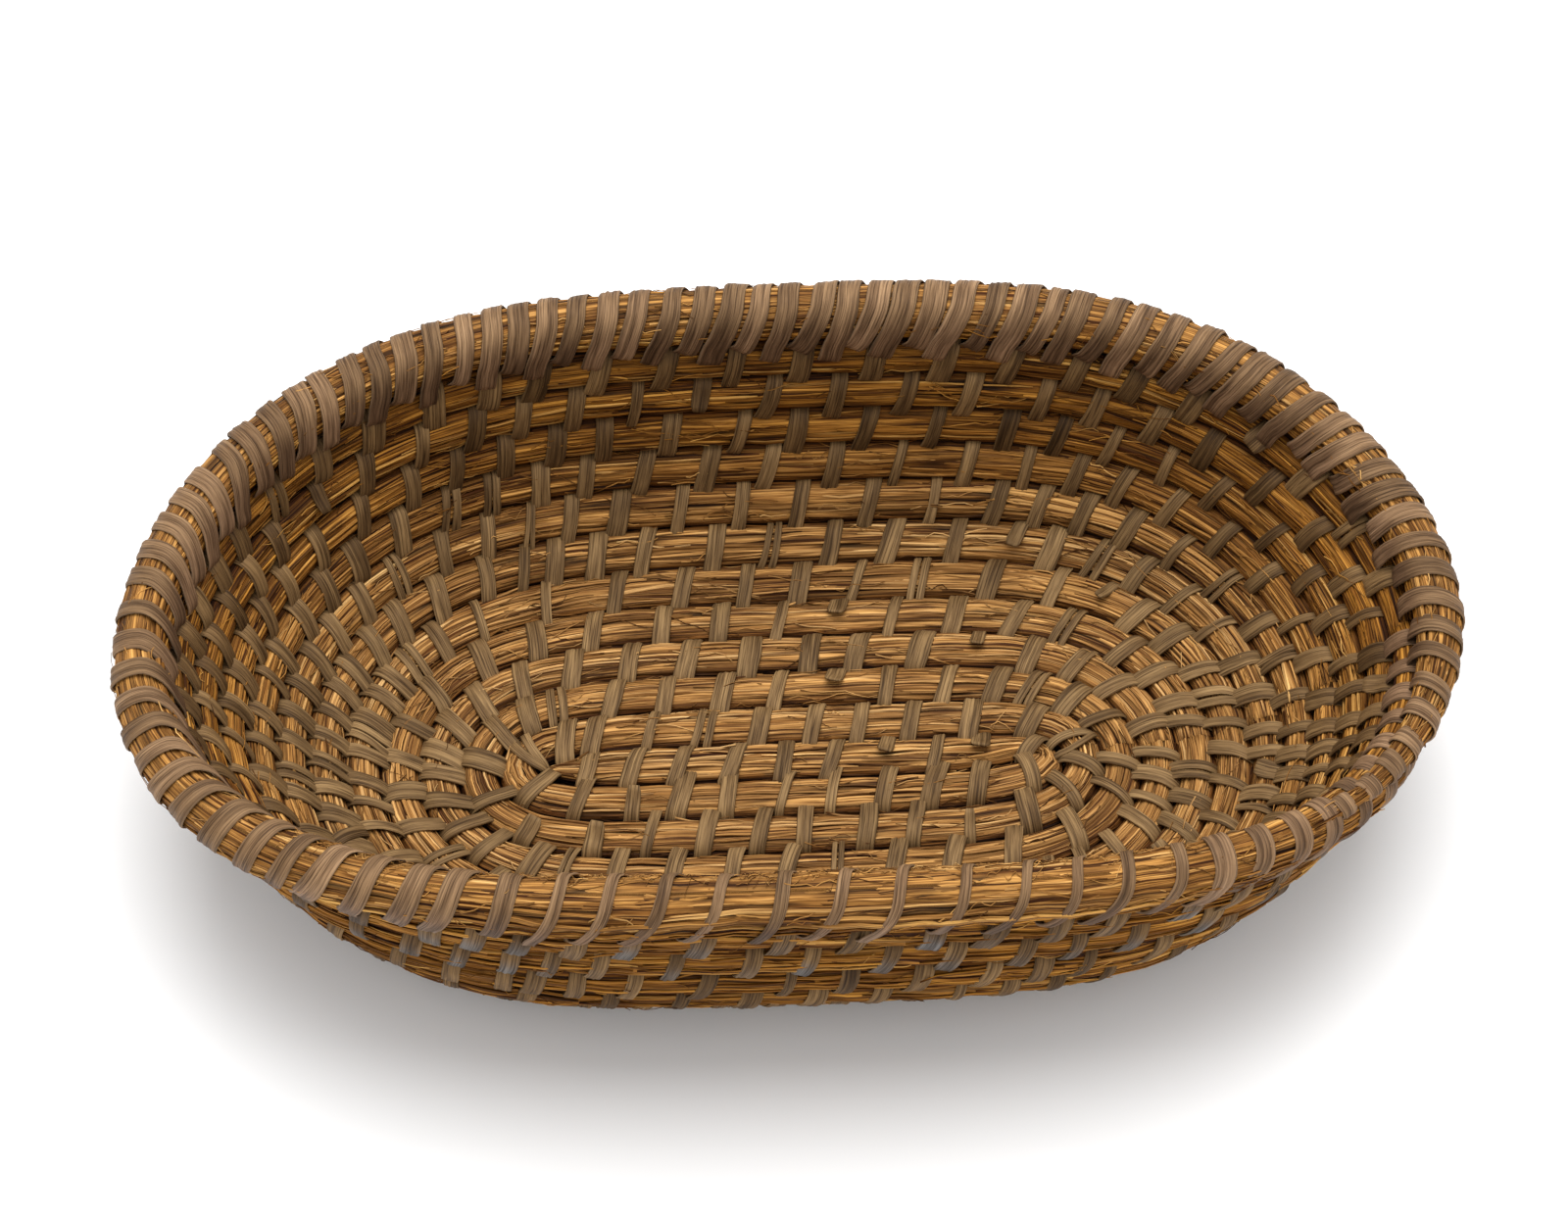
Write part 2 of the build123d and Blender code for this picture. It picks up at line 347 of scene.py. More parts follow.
# ---- stray fibres ----
FIBRE_STATIONS, FIBRE_STEP, FIBRE_BEND = 8, 3 * MM, 8 * MM
FIBRE_SPACING, FIBRE_END_MARGIN = 3.6 * MM, 1 * MM
FIBRE_LENGTHS, FIBRE_WIDTHS, FIBRE_THICKNESS = (8 * MM, 26 * MM), (0.25 * MM, 0.5 * MM), 0.16 * MM
FIBRE_CROSSING, FIBRE_TURNING = 0.5, 0.12  # radians round the bundle, from end to end and in its bends
FIBRE_HEIGHT, FIBRE_WAVING = 0.15 * MM, 0.45 * MM
FUZZ_TURNS, FUZZ_FIBRES = (11.68, 11.86), 260
FUZZ_LENGTHS, FUZZ_ROUND, FUZZ_ROUND_SPREAD = (2 * MM, 7 * MM), 1.0, 0.3


def pinch(along, stitches):
    """The bundle's depth at each length, as a share, with the stitches drawing it in."""
    gap = np.min(np.abs(along[:, None] - stitches), axis=1)
    return 1 - PINCH * np.exp(-((gap / PINCH_REACH) ** 2))


def dust(along, around):
    """Dust lies on what faces up in the floor, and thins out up the walls and round the outside.

    The rim's upper side is made paler, which goes in with the dust. Angle 0 is the bundle's upper edge."""
    height = read("point", along)[..., 2]
    low = 1 - smooth(height / DUST_HEIGHT)
    inner = smooth(DUST_ON_TOP + DUST_INWARD * np.sin(around))
    # The rim's upper side is made paler.
    paler_rim_top = RIM_TOP_PALING * swell(turns_at(along)) * smooth(RIM_TOP_PALING_SPREAD + np.cos(around))
    return np.clip(inner * (LEAST_DUST + (1 - LEAST_DUST) * low) + paler_rim_top, LEAST_DUST, 1)


def painted_groove_shade(along, around):
    """1 where a row meets its neighbour, which sets the painted shade in the groove. The rim's upper edge has
    none, and its lower edge a wide one.
    """
    edge, on_rim = np.cos(around), swell(turns_at(along))
    return np.where(edge > 0, edge * (1 - on_rim), -edge * (1 + RIM_UNDERSIDE_PAINTED_SHADE * on_rim))


def body(tubes, first, last, stitches):
    """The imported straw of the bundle, ridged lengthwise."""
    stations = int((last - first) / BODY_STEP)
    along = np.linspace(first, last, stations)
    around = np.linspace(0, math.tau, BODY_RING, endpoint=False)[::-1]
    spans = int((last - first) / RIDGE_REACH)
    ridges = wander_lanes(stations, spans + 1, BODY_RING, RIDGE)
    ridges += wander_lanes(stations, 2 * spans + 1, BODY_RING, RIDGE / 2)
    drawn_in = pinch(along, stitches)[:, None]
    along = along[:, None]
    half_height = read("half_height", along) * BODY_HEIGHT
    half_depth = read("half_depth", along) * BODY_DEPTH * drawn_in + ridges
    up = (half_height + ridges * RIDGE_UPWARD) * np.cos(around)
    inward = half_depth * np.sin(around)
    # Ridge tops painted paler and the dips between them darker: painted shade in the hollows.
    shade = np.clip(BODY_SHADE + RIDGE_SHADE * ridges / RIDGE, *BODY_SHADE_LIMITS)
    grain = side_by_side(along, around * BUNDLE_HALF_DEPTH, random.random())
    tone = side_by_side(dust(along, around), shade, painted_groove_shade(along, around))
    tubes.add(settle(place(along, up, inward)), grain, tone)


def straw(tubes, along, around, width, rise, thickness):
    """One flattened straw or fibre that follows the bundle."""
    along, around = along[:, None], around[:, None]
    half_height, half_depth = read("half_height", along), read("half_depth", along)
    side_up, side_in = -half_height * np.sin(around), half_depth * np.cos(around)
    norm = np.hypot(side_up, side_in)
    side_up, side_in = side_up / norm, side_in / norm
    across = width[:, None] / 2 * STRAW_RING[:, 0]
    height = rise[:, None] + thickness * STRAW_RING[:, 1]
    up = half_height * np.cos(around) + side_up * across + side_in * height
    inward = half_depth * np.sin(around) + side_in * across - side_up * height
    grain = side_by_side(along, across, random.random())
    shade = np.full_like(across, random.uniform(*STRAW_SHADES))
    tone = side_by_side(dust(along, around), shade, painted_groove_shade(along, around))
    tubes.add(settle(place(along, up, inward)), grain, tone)


def straw_height(along, turn_round, stitches):
    """How far a straw lies above the bundle's surface. Now and then its end has worked loose."""
    wall_height = read("point", along)[0, 2]
    outside_high = smooth(-np.sin(turn_round)) * smooth(wall_height / OUTSIDE_EXTRA_HEIGHT)
    sunk = (pinch(along, stitches) - 1) * read("half_depth", along)
    lowest, highest = STRAW_HEIGHTS
    height = random.uniform(lowest, highest + OUTSIDE_EXTRA * outside_high) + sunk
    height = height + wander(len(along), STRAW_STEP, *STRAW_WAVING)
    if random.random() < LOOSE_END_CHANCE:
        loose = np.clip(1 - (along[-1] - along) / LOOSE_END_LENGTH, 0, 1) ** 2
        height = height + loose * random.uniform(*LOOSE_END_RISES)
    return height


def laid_straw(tubes, start, end, turn_round, stitches):
    """A straw of the bundle's outer layer, slimmer towards its ends."""
    stations = max(LEAST_STRAW_STATIONS, int((end - start) / STRAW_STEP))
    along = np.linspace(start, end, stations)
    around = turn_round + wander(stations, STRAW_STEP, *STRAW_TURNING)
    width = random.triangular(*STRAW_WIDTHS) * (1 + wander(stations, STRAW_STEP, *STRAW_WIDENING))
    from_end = np.minimum(along - start, end - along) / STRAW_END_LENGTH
    slim = np.clip(from_end + STRAW_END_SCALE, STRAW_END_SCALE, 1)
    scale = np.clip(read("half_depth", along) / BUNDLE_HALF_DEPTH, *STRAW_WIDTH_LIMITS)
    height = straw_height(along, turn_round, stitches)
    straw(tubes, along, around, width * slim * scale, height, STRAW_THICKNESS)


def loose_fibre(tubes, start, length, around):
    """A thin stray fibre that crosses the straws."""
    along = np.linspace(start, start + length, FIBRE_STATIONS)
    around = around + np.linspace(0, random.normal(0, FIBRE_CROSSING), FIBRE_STATIONS)
    around = around + wander(FIBRE_STATIONS, FIBRE_STEP, FIBRE_BEND, FIBRE_TURNING)
    rise = FIBRE_HEIGHT + np.abs(wander(FIBRE_STATIONS, FIBRE_STEP, FIBRE_BEND, FIBRE_WAVING))
    width = np.full(FIBRE_STATIONS, random.uniform(*FIBRE_WIDTHS))
    straw(tubes, along, around, width, rise, FIBRE_THICKNESS)


def rim_fuzz(tubes):
    """Short fibres worn loose along the inner edge of the rim's near side."""
    first, last = along_at(FUZZ_TURNS)
    for _ in range(FUZZ_FIBRES):
        start = random.uniform(first, last)
        length = random.uniform(*FUZZ_LENGTHS)
        loose_fibre(tubes, start, length, random.normal(FUZZ_ROUND, FUZZ_ROUND_SPREAD))


def straw_layer(tubes, first, last, stitches):
    """Lanes of straws laid end to end round the bundle, with stray fibres over them."""
    middle = (first + last) / 2
    girth = math.pi * (read("half_depth", middle) + read("half_height", middle))
    lanes = int(girth / LANE_WIDTH)
    for lane in range(lanes):
        start = first - random.uniform(0, FIRST_STRAW_OVERRUN)
        while start < last:
            length = random.uniform(*STRAW_LENGTHS)
            begin, finish = max(start, first), min(start + length, last)
            start += length + random.uniform(*STRAW_GAPS)
            if finish - begin > SHORTEST_STRAW:
                around = (lane + random.uniform(-LANE_SCATTER, LANE_SCATTER)) / lanes * math.tau
                laid_straw(tubes, begin, finish, around, stitches)
    for _ in range(int((last - first) / FIBRE_SPACING)):
        length = random.uniform(*FIBRE_LENGTHS)
        start = random.uniform(first, last - FIBRE_END_MARGIN)
        loose_fibre(tubes, start, length, random.uniform(0, math.tau))


# ------------------------------------------------------------------ splints
# A splint's cross-section: its broad face, then the two points of its underside
SPLINT_ACROSS = np.array([-1.0, -0.88, -0.68, -0.46, -0.23, 0.0, 0.23, 0.46, 0.68, 0.88, 1.0, 0.6, -0.6])
SPLINT_HEIGHT = np.array([0.3, 0.82, 0.93, 0.9, 0.96, 0.93, 0.96, 0.9, 0.93, 0.82, 0.3, -0.1, -0.1])
SPLINT_FACE_POINTS, SPLINT_RIDGE = 11, 0.11
SPLINT_STATIONS, SPLINT_STEP = 30, 1.2 * MM
SPLINT_THICKNESSES, SPLINT_TILT = (0.7 * MM, 0.95 * MM), 0.05
SPLINT_CLIMBING = (14 * MM, 0.1 * MM)      # drift up and down: reach, and metres
SPLINT_SLIDING = (12 * MM, 0.25 * MM)      # drift along the bundle: reach, and metres
SPLINT_WIDENING = (12 * MM, 0.06)          # drift of the width: reach, and share
SPLINT_END_STATIONS, SPLINT_END_SCALE = 4, 0.7
BURIED = 1.6 * MM                          # how deep the ends go into the row below
SLANT_BEFORE = 0.3                         # share of the slant that comes before the stitch's place
OUTER_REACHES = (0.7, 1.1)                 # reach on the outer side, as a share of the inner one
BROKEN_POINTS = 3                          # how many control points a broken splint lacks
BROKEN_LIFTS = (2.0 * MM, 3.5 * MM)        # how far its broken end stands off
LOWER_FACING = 0.12                        # the lower half of a splint faces nearly straight in or out
SHEEN_MIDDLE, SHEEN_DOWNWARD = 0.5, 0.7      # painted sheen, before easing: at half height, and more towards the lower edge
SHEEN_STRENGTH = 2                          # how far a full painted sheen takes the dust value down, below 0


def smooth_path(points, count):
    """Catmull-Rom curve through control points, which are (n, dimensions)."""
    padded = np.vstack([2 * points[0] - points[1], points, 2 * points[-1] - points[-2]])
    index, part = between_knots(len(points), count)
    before, start, end, after = (padded[index + shift] for shift in range(4))
    return 0.5 * (2 * start + (end - before) * part
                  + (2 * before - 5 * start + 4 * end - after) * part**2
                  + (3 * start - before - 3 * end + after) * part**3)


def ribbon(tubes, centre, normal, width, thickness, tilt, dust_and_sheen):
    """A flat ridged splint along centre, with its broad face towards normal."""
    forward = unit(np.gradient(centre, axis=0))
    side = unit(np.cross(forward, normal))
    normal = unit(np.cross(side, forward))
    profile = SPLINT_HEIGHT.copy()
    profile[1:SPLINT_FACE_POINTS - 1] += random.normal(0, SPLINT_RIDGE, SPLINT_FACE_POINTS - 2)
    across = width[:, None] / 2 * SPLINT_ACROSS
    height = thickness * profile + tilt * across
    rings = centre[:, None] + side[:, None] * across[..., None] + normal[:, None] * height[..., None]
    grain = side_by_side(path_lengths(centre)[:, None], across, random.random())
    tone = side_by_side(dust_and_sheen[:, None], random.random(), np.abs(SPLINT_ACROSS))
    tubes.add(settle(rings), grain, tone)


def stitch_shape(reach_in, reach_out, high, deep):
    """The splint's way round the bundle, as (up, inward, share of the slant) control points.

    It starts buried in the row below on the inner side, and ends buried there on the outer side."""
    return np.array([
        [-high - reach_in - BURIED, 0.25 * deep, 0.00],
        [-high - reach_in, 0.72 * deep, 0.04],
        [-high * 0.82, 0.92 * deep, 0.13],
        [-high * 0.30, 1.02 * deep, 0.24],
        [high * 0.30, 1.00 * deep, 0.35],
        [high * 0.76, 0.76 * deep, 0.44],
        [high * 1.00, 0.30 * deep, 0.48],
        [high * 1.00, -0.30 * deep, 0.52],
        [high * 0.76, -0.76 * deep, 0.57],
        [high * 0.30, -1.00 * deep, 0.66],
        [-high * 0.30, -1.02 * deep, 0.78],
        [-high * 0.82, -0.92 * deep, 0.90],
        [-high - reach_out, -0.72 * deep, 0.98],
        [-high - reach_out - BURIED, -0.25 * deep, 1.00]])


def stitch_path(middle, slant, shape):
    """Lengths along the bundle and offsets up and inward of a slightly wavy splint."""
    path = smooth_path(shape, SPLINT_STATIONS)
    up = path[:, 0] + wander(SPLINT_STATIONS, SPLINT_STEP, *SPLINT_CLIMBING)
    along = middle - slant * SLANT_BEFORE + path[:, 2] * slant
    return along + wander(SPLINT_STATIONS, SPLINT_STEP, *SPLINT_SLIDING), up, path[:, 1]


def stitch_widths(width):
    """A splint's width along its length, narrower near its ends."""
    widths = width * (1 + wander(SPLINT_STATIONS, SPLINT_STEP, *SPLINT_WIDENING))
    stations = np.arange(SPLINT_STATIONS)
    from_end = np.minimum(stations, stations[::-1])
    return widths * np.clip(from_end / SPLINT_END_STATIONS + SPLINT_END_SCALE, 0, 1)


def stitch(tubes, middle, width, slant, reach, lift, sheen=0.0, broken=False):
    """One splint stitch, from where it leaves the row below inside to where it goes back outside."""
    half_height = read("half_height", middle)
    half_depth = read("half_depth", middle) * (1 - PINCH)
    shape = stitch_shape(reach, reach * random.uniform(*OUTER_REACHES), half_height, half_depth + lift)
    if broken:
        shape = shape[BROKEN_POINTS:]
        shape[0, 1] += random.uniform(*BROKEN_LIFTS)
    along, up, inward = stitch_path(middle, slant, shape)
    high, deep = up / half_height, inward / half_depth
    normal = place(along, np.where(high < 0, high * LOWER_FACING, high), deep) - read("point", along)
    # Painted sheen on the splint's outer, lower part, taken off its dust value.
    sheen_mask = smooth(-deep) * smooth(SHEEN_MIDDLE - SHEEN_DOWNWARD * high)
    dust_and_sheen = dust(along, np.arctan2(deep, high)) - SHEEN_STRENGTH * sheen * sheen_mask
    widths = stitch_widths(width)
    thickness = random.uniform(*SPLINT_THICKNESSES)
    tilt = random.normal(0, SPLINT_TILT)
    ribbon(tubes, place(along, up, inward), normal, widths, thickness, tilt, dust_and_sheen)


# ------------------------------------------------------------------ materials
# ---- straw, from the darkest shade to the palest: (shade, colour) ----
CLEAN_STRAW = [(0.0, (0.04, 0.017, 0.004)), (0.22, (0.15, 0.062, 0.009)), (0.5, (0.32, 0.138, 0.017)),
               (0.75, (0.43, 0.195, 0.028)), (1.0, (0.56, 0.32, 0.085))]
DUSTY_STRAW = [(0.0, (0.08, 0.049, 0.02)), (0.22, (0.31, 0.165, 0.052)), (0.6, (0.57, 0.316, 0.108)),
               (1.0, (0.71, 0.465, 0.21))]
MOST_DUST = 0.85
# Painted shade in the grooves between rows, multiplied over the straw's colour.
GROOVE_PAINTED_SHADE = [(0.64, (1, 1, 1)), (0.86, (0.38, 0.28, 0.17)), (0.95, (0.05, 0.028, 0.01))]

# ---- splints: dark, middle and light wood, and the cut edges ----
SPLINT_COLOURS = ((0.088, 0.049, 0.019), (0.15, 0.088, 0.037), (0.22, 0.136, 0.06), (0.264, 0.167, 0.077))
RIM_COLOURS = ((0.114, 0.065, 0.037), (0.194, 0.116, 0.067), (0.282, 0.176, 0.106), (0.317, 0.211, 0.123))
SPLINT_DUST, SPLINT_DUST_AT = (0.277, 0.18, 0.084), 1.8
# A painted blue-grey sheen, used where the value is below 0.
SPLINT_PAINTED_SHEEN, SPLINT_PAINTED_SHEEN_AT = (0.132, 0.125, 0.125), -1.6
SPLINT_BORDER, SPLINT_BORDER_SHARE = 0.84, 0.45

# ---- streaks: noise scales along and across the strand, darkest and lightest factor, noise detail ----
STREAK_STOPS, STREAK_MIDDLE, STREAK_ROUGHNESS = (0.37, 0.48, 0.61), (0.84, 0.8, 0.76), 0.65
STRAW_PATCHES = (14, 380, (0.52, 0.44, 0.35), (1.12, 1.12, 1.1), 3.0)
STRAW_FIBRES = (15, 1500, (0.14, 0.08, 0.045), (1.2, 1.2, 1.2), 2.0)
STRAW_HAIRLINES = (55, 3400, (0.36, 0.28, 0.2), (1.18, 1.2, 1.22), 2.0)
SPLINT_PATCHES = (40, 420, (0.6, 0.55, 0.5), (1.16, 1.14, 1.1), 3.0)
SPLINT_FIBRES = (45, 2300, (0.36, 0.32, 0.28), (1.22, 1.21, 1.18), 3.0)
STRAND_STRIDE = 57.0                       # takes each strand to a part of the noise of its own

# ---- roughness and specular level, and bump ----
STRAW_GLOSS, SPLINT_GLOSS, PAPER_GLOSS = (0.62, 0.1), (0.58, 0.13), (0.85, 0.2)
BUMP_STRENGTH, BUMP_DISTANCE = 0.8, 0.6 * MM
STRAW_HAIRLINE_BUMP, SPLINT_PATCH_BUMP = 0.6, 0.5

# ---- the floor's paper ----
PAPER_SPECKLE = {"Scale": 3.0, "Detail": 2.0}
PAPER_TONES = [(0.0, (0.9, 0.9, 0.9)), (1.0, (0.93, 0.93, 0.93))]

# ---- the colour sockets of Blender's Mix node ----
MIX_FACTOR, MIX_FIRST, MIX_SECOND, MIX_RESULT = 0, 6, 7, 2


def node(tree, kind, inputs=None, **settings):
    """Add a node, and link or set its inputs."""
    made = tree.nodes.new(kind)
    for key, value in settings.items():
        setattr(made, key, value)
    for key, value in (inputs or {}).items():
        socket = made.inputs[key]
        if isinstance(value, bpy.types.NodeSocket):
            tree.links.new(value, socket)
        else:
            socket.default_value = value
    return made


def math_node(tree, operation, first, second):
    return node(tree, "ShaderNodeMath", {0: first, 1: second}, operation=operation).outputs[0]


def share_between(tree, value, low, high):
    """0 at low, 1 at high, and clamped outside them."""
    return node(tree, "ShaderNodeMapRange", {"Value": value, "From Min": low, "From Max": high}).outputs[0]


def ramp(tree, value, stops):
    made = node(tree, "ShaderNodeValToRGB", {"Fac": value})
    elements = made.color_ramp.elements
    while len(elements) < len(stops):
        elements.new(0.5)
    for element, (position, colour) in zip(elements, stops):
        element.position = position
        element.color = (*colour, 1)
    return made.outputs["Color"]


def mix(tree, factor, first, second, blend="MIX"):
    """Mix two colours, each a socket or three numbers."""
    colours = [value if isinstance(value, bpy.types.NodeSocket) else (*value, 1) for value in (first, second)]
    inputs = {MIX_FACTOR: factor, MIX_FIRST: colours[0], MIX_SECOND: colours[1]}
    return node(tree, "ShaderNodeMix", inputs, data_type="RGBA", blend_type=blend).outputs[MIX_RESULT]


def grain_noise(tree, along_scale, across_scale, detail):
    """Noise drawn out along the strand."""
    grain = node(tree, "ShaderNodeAttribute", attribute_name="grain").outputs["Vector"]
    along, across, strand = node(tree, "ShaderNodeSeparateXYZ", {0: grain}).outputs
    vector = node(tree, "ShaderNodeCombineXYZ", {
        0: math_node(tree, "MULTIPLY", along, along_scale),
        1: math_node(tree, "MULTIPLY", across, across_scale),
        2: math_node(tree, "MULTIPLY", strand, STRAND_STRIDE)}).outputs[0]
    return node(tree, "ShaderNodeTexNoise", {
        "Vector": vector, "Scale": 1.0, "Detail": detail, "Roughness": STREAK_ROUGHNESS}).outputs["Fac"]


def streaked(tree, colour, along_scale, across_scale, darkest, lightest, detail):
    """Multiply a colour by streaks that run along the strand. Gives the colour and the streaks' noise."""
    noise = grain_noise(tree, along_scale, across_scale, detail)
    streaks = ramp(tree, noise, list(zip(STREAK_STOPS, (darkest, STREAK_MIDDLE, lightest))))
    return mix(tree, 1.0, colour, streaks, "MULTIPLY"), noise


def tone_parts(tree):
    tone = node(tree, "ShaderNodeAttribute", attribute_name="tone").outputs["Vector"]
    return node(tree, "ShaderNodeSeparateXYZ", {0: tone}).outputs


def new_material(name, roughness, specular):
    material = bpy.data.materials.new(name)
    material.use_nodes = True
    shader = material.node_tree.nodes["Principled BSDF"]
    shader.inputs["Roughness"].default_value = roughness
    shader.inputs["Specular IOR Level"].default_value = specular
    return material, material.node_tree, shader


def finish_material(tree, shader, colour, height):
    tree.links.new(colour, shader.inputs["Base Color"])
    inputs = {"Height": height, "Strength": BUMP_STRENGTH, "Distance": BUMP_DISTANCE}
    tree.links.new(node(tree, "ShaderNodeBump", inputs).outputs[0], shader.inputs["Normal"])


def straw_material():
    """Golden straw, greyer and paler where dust lies, with painted shade in the grooves between rows."""
    material, tree, shader = new_material("straw", *STRAW_GLOSS)
    dust_and_sheen, shade, edge = tone_parts(tree)
    dustiness = math_node(tree, "MULTIPLY", dust_and_sheen, MOST_DUST)
    colour = mix(tree, dustiness, ramp(tree, shade, CLEAN_STRAW), ramp(tree, shade, DUSTY_STRAW))
    colour, _ = streaked(tree, colour, *STRAW_PATCHES)
    colour, fibres = streaked(tree, colour, *STRAW_FIBRES)
    colour, hairlines = streaked(tree, colour, *STRAW_HAIRLINES)
    # Painted shade in the grooves between rows.
    colour = mix(tree, 1.0, colour, ramp(tree, edge, GROOVE_PAINTED_SHADE), "MULTIPLY")
    relief = math_node(tree, "ADD", fibres, math_node(tree, "MULTIPLY", hairlines, STRAW_HAIRLINE_BUMP))
    finish_material(tree, shader, colour, relief)
    return material


def splint_material(name, dark, middle, light, edge_colour):
    """Split wood: dusty where its value is above 0, with a painted blue-grey sheen where it is below."""
    material, tree, shader = new_material(name, *SPLINT_GLOSS)
    dust_and_sheen, shade, edge = tone_parts(tree)
    colour = ramp(tree, shade, [(0.0, dark), (0.5, middle), (1.0, light)])
    colour = mix(tree, share_between(tree, dust_and_sheen, 0.0, SPLINT_DUST_AT), colour, SPLINT_DUST)
    colour = mix(tree, share_between(tree, dust_and_sheen, 0.0, SPLINT_PAINTED_SHEEN_AT), colour, SPLINT_PAINTED_SHEEN)
    colour, patches = streaked(tree, colour, *SPLINT_PATCHES)
    colour, fibres = streaked(tree, colour, *SPLINT_FIBRES)
    border = math_node(tree, "MULTIPLY", share_between(tree, edge, SPLINT_BORDER, 1.0), SPLINT_BORDER_SHARE)
    colour = mix(tree, border, colour, edge_colour)
    relief = math_node(tree, "ADD", fibres, math_node(tree, "MULTIPLY", patches, SPLINT_PATCH_BUMP))
    finish_material(tree, shader, colour, relief)
    return material


# ------------------------------------------------------------------ the basket
# ---- where the stitches lie ----
STITCH_SPACING, CROWDED_SPACING, CROWDED_ROWS = 16.0 * MM, 10.0 * MM, 6
ROUND_END_START = 0.6        # the round ends are where the squared cosine of the angle is above this
STITCH_END_MARGIN = 6.0 * MM
ROW_START_MARGIN, ROW_END_MARGIN = 2 * MM, 1 * MM
STITCH_SCATTER = 0.9 * MM

# ---- the stitches of the rows. The crowded ones at the floor's ends vary more ----
STITCH_WIDTH, STITCH_WIDTHS = 5.8 * MM, (0.82, 1.14)
SLIM_CHANCE, SLIM_WIDTHS = 0.14, (0.55, 0.7)
WIDE_STITCH_WIDTH, WIDE_STITCH_WIDTHS = 7.2 * MM, (0.85, 1.1)      # in the row below the rim
STITCH_SLANT, STITCH_SLANT_SPREAD = 9.0 * MM, 1.8 * MM
STITCH_REACHES, STITCH_LIFTS = (0.8 * MM, 2.6 * MM), (0.1 * MM, 0.4 * MM)
CROWDED_WIDENING, CROWDED_SLANT_SPREAD, CROWDED_LIFT = 0.12, 2.5 * MM, 0.4 * MM
SPLIT_CHANCE, SPLIT_OFFSET, SPLIT_WIDTH = 0.07, 0.3, 0.48
SPLIT_SLANT, SPLIT_LIFT = 0.8, 0.1 * MM
BROKEN_CHANCE = 0.045
CROSSING_CHANCE, CROSSING_OFFSET, CROSSING_WIDTH, CROSSING_LIFT = 0.12, 4 * MM, 0.7, 0.9 * MM
SHEEN_ROW, SHEEN_AMOUNTS = 10, (0.1, 1.0)        # from this row up the outside splints get a painted blue-grey sheen

# ---- the rim's splints. A long one that lies on top and a short one take turns: reaches, lifts ----
BINDING_WIDTH, SPARSE_BINDING_WIDTH, BINDING_WIDTHS = 7.2 * MM, 3.8 * MM, (0.82, 1.12)
BINDING_SPACING, BINDING_SPACING_CHANGE, BINDING_SPACINGS = 11.4 * MM, 1.9 * MM, (0.88, 1.12)
SPARSE_TURNS, SPARSE_BINDING_SPACING = (11.68, 11.79), 16.6 * MM
BINDING_SLANT, BINDING_SLANT_SPREAD = 17.0 * MM, 2.5 * MM
NEAR_LEFT_SLANT, NEAR_LEFT_TURN = 7.0 * MM, 11.86
LONG_BINDING = (3.2 * MM, 5.2 * MM), (0.4 * MM, 0.8 * MM)
SHORT_BINDING = (0.0 * MM, 1.2 * MM), (0.1 * MM, 0.4 * MM)
# How much painted sheen the rim's splints get on the outside.
RIM_SHEEN_AMOUNTS = (0, 0.3)


def row_span(row):
    """Where a row begins and ends, in metres along the bundle."""
    last_turn = TAIL_END_TURN if row == RIM_ROW else row + 0.5
    return along_at(row - 0.5), along_at(last_turn)


def spacing_at(turn):
    """Stitches crowd together at the two ends of the floor, where the rows turn tightly."""
    if turn > CROWDED_ROWS:
        return STITCH_SPACING
    round_end = smooth((math.cos(turn * math.tau) ** 2 - ROUND_END_START) / (1 - ROUND_END_START))
    return STITCH_SPACING + (CROWDED_SPACING - STITCH_SPACING) * round_end


def stitch_turns():
    """Where the stitches lie, in turns. From the second turn on they share out the gaps of the row below."""
    first = along_at(START_TURN) + STITCH_END_MARGIN
    marks = list(turns_at(np.arange(first, along_at(START_TURN + 1) + STITCH_SPACING, STITCH_SPACING)))
    below = 0
    while marks[below + 1] + 1 < RIM_START_TURN:
        low, high = along_at(marks[below] + 1), along_at(marks[below + 1] + 1)
        count = max(1, round((high - low) / spacing_at(marks[below])))
        marks += [turns_at(low + (high - low) * (index + 0.5) / count) for index in range(count)]
        below += 1
    return np.array(marks)


def row_places(row, marks):
    """Where a row's stitches lie, in metres along the bundle."""
    first, last = row_span(row)
    places = along_at(marks[(marks > row - 0.5) & (marks <= row + 0.5)])
    places = places[(places > first + ROW_START_MARGIN) & (places < last - ROW_END_MARGIN)]
    return places + random.normal(0, STITCH_SCATTER, len(places))


def stitch_width(row):
    """Most splints are alike, but some are slim."""
    if row == RIM_ROW - 1:
        return WIDE_STITCH_WIDTH * random.uniform(*WIDE_STITCH_WIDTHS)
    slim = random.random() < SLIM_CHANCE
    return STITCH_WIDTH * random.uniform(*(SLIM_WIDTHS if slim else STITCH_WIDTHS))


